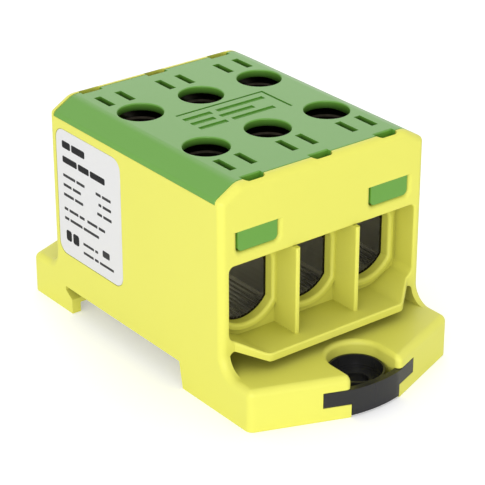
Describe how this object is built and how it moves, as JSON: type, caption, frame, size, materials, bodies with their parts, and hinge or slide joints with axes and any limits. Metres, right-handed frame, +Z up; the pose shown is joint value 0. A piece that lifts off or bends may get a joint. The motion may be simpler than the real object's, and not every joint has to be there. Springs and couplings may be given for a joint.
{
  "type": "earth terminal block",
  "caption": "Boxed terminal block with metal clamp terminals open at both ends, top screw access, a sprung rail latch and feet for panel screws.",
  "frame": {"origin": "middle of the block's outline, on the plane of its feet", "axes": "+X across the poles, away from the label; +Y along the conductors, from the rail latch to the fixed hook; +Z up"},
  "size_m": [0.0446, 0.0803, 0.0417],
  "materials": {
    "yellow_plastic": "satin moulded",
    "green_plastic": "satin moulded",
    "terminal_metal": "dull plated, with an extruded grooved bore",
    "screw_steel": "zinc plated",
    "dark_plastic": "satin moulded",
    "label_film": "matt film with plain printed bars"
  },
  "bodies": {
    "block": {"housing": "yellow_plastic", "cover": "green_plastic", "terminal_left": "terminal_metal", "terminal_middle": "terminal_metal", "terminal_right": "terminal_metal", "rating_label": "label_film"},
    "latch": {"rail_latch": "dark_plastic"},
    "screw_left_front": {"clamp_screw_left_front": "screw_steel"},
    "screw_left_rear": {"clamp_screw_left_rear": "screw_steel"},
    "screw_middle_front": {"clamp_screw_middle_front": "screw_steel"},
    "screw_middle_rear": {"clamp_screw_middle_rear": "screw_steel"},
    "screw_right_front": {"clamp_screw_right_front": "screw_steel"},
    "screw_right_rear": {"clamp_screw_right_rear": "screw_steel"}
  },
  "joints": [
    {"name": "latch_slide", "type": "slide", "parent": "block", "child": "latch", "axis": [0, -1, 0], "range_m": [0, 0.0025], "stiffness_N_per_m": 800},
    {"name": "screw_left_front_travel", "type": "slide", "parent": "block", "child": "screw_left_front", "axis": [0, 0, -1], "range_m": [0, 0.0092]},
    {"name": "screw_left_rear_travel", "type": "slide", "parent": "block", "child": "screw_left_rear", "axis": [0, 0, -1], "range_m": [0, 0.0092]},
    {"name": "screw_middle_front_travel", "type": "slide", "parent": "block", "child": "screw_middle_front", "axis": [0, 0, -1], "range_m": [0, 0.0092]},
    {"name": "screw_middle_rear_travel", "type": "slide", "parent": "block", "child": "screw_middle_rear", "axis": [0, 0, -1], "range_m": [0, 0.0092]},
    {"name": "screw_right_front_travel", "type": "slide", "parent": "block", "child": "screw_right_front", "axis": [0, 0, -1], "range_m": [0, 0.0092]},
    {"name": "screw_right_rear_travel", "type": "slide", "parent": "block", "child": "screw_right_rear", "axis": [0, 0, -1], "range_m": [0, 0.0092]}
  ]
}
